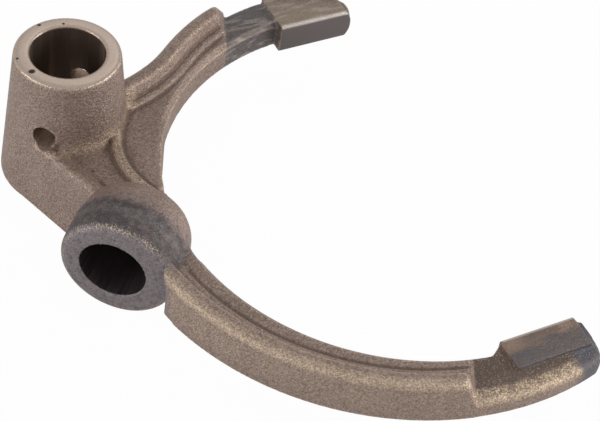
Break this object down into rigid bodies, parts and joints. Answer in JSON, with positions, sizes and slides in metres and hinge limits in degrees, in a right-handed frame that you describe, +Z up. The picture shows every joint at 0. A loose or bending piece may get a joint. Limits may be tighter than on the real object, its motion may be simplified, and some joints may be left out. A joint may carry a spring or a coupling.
{
  "type": "clutch fork",
  "caption": "Forged gearbox fork: an upright rail hub and an angled lever boss carry a C-shaped ring with two machined pads that straddle a sliding sleeve.",
  "frame": {"origin": "on the axis of the rail bore, level with the middle of the pads' thickness", "axes": "+Z up the rail bore, +X along the ring's own line of symmetry towards its open end, +Y from the near pad to the far pad"},
  "size_m": [0.1134, 0.1566, 0.0423],
  "materials": {
    "forged_steel": "shot-blasted forging skin with machined bores and pads"
  },
  "bodies": {
    "root": {"fork": "forged_steel"}
  },
  "joints": []
}
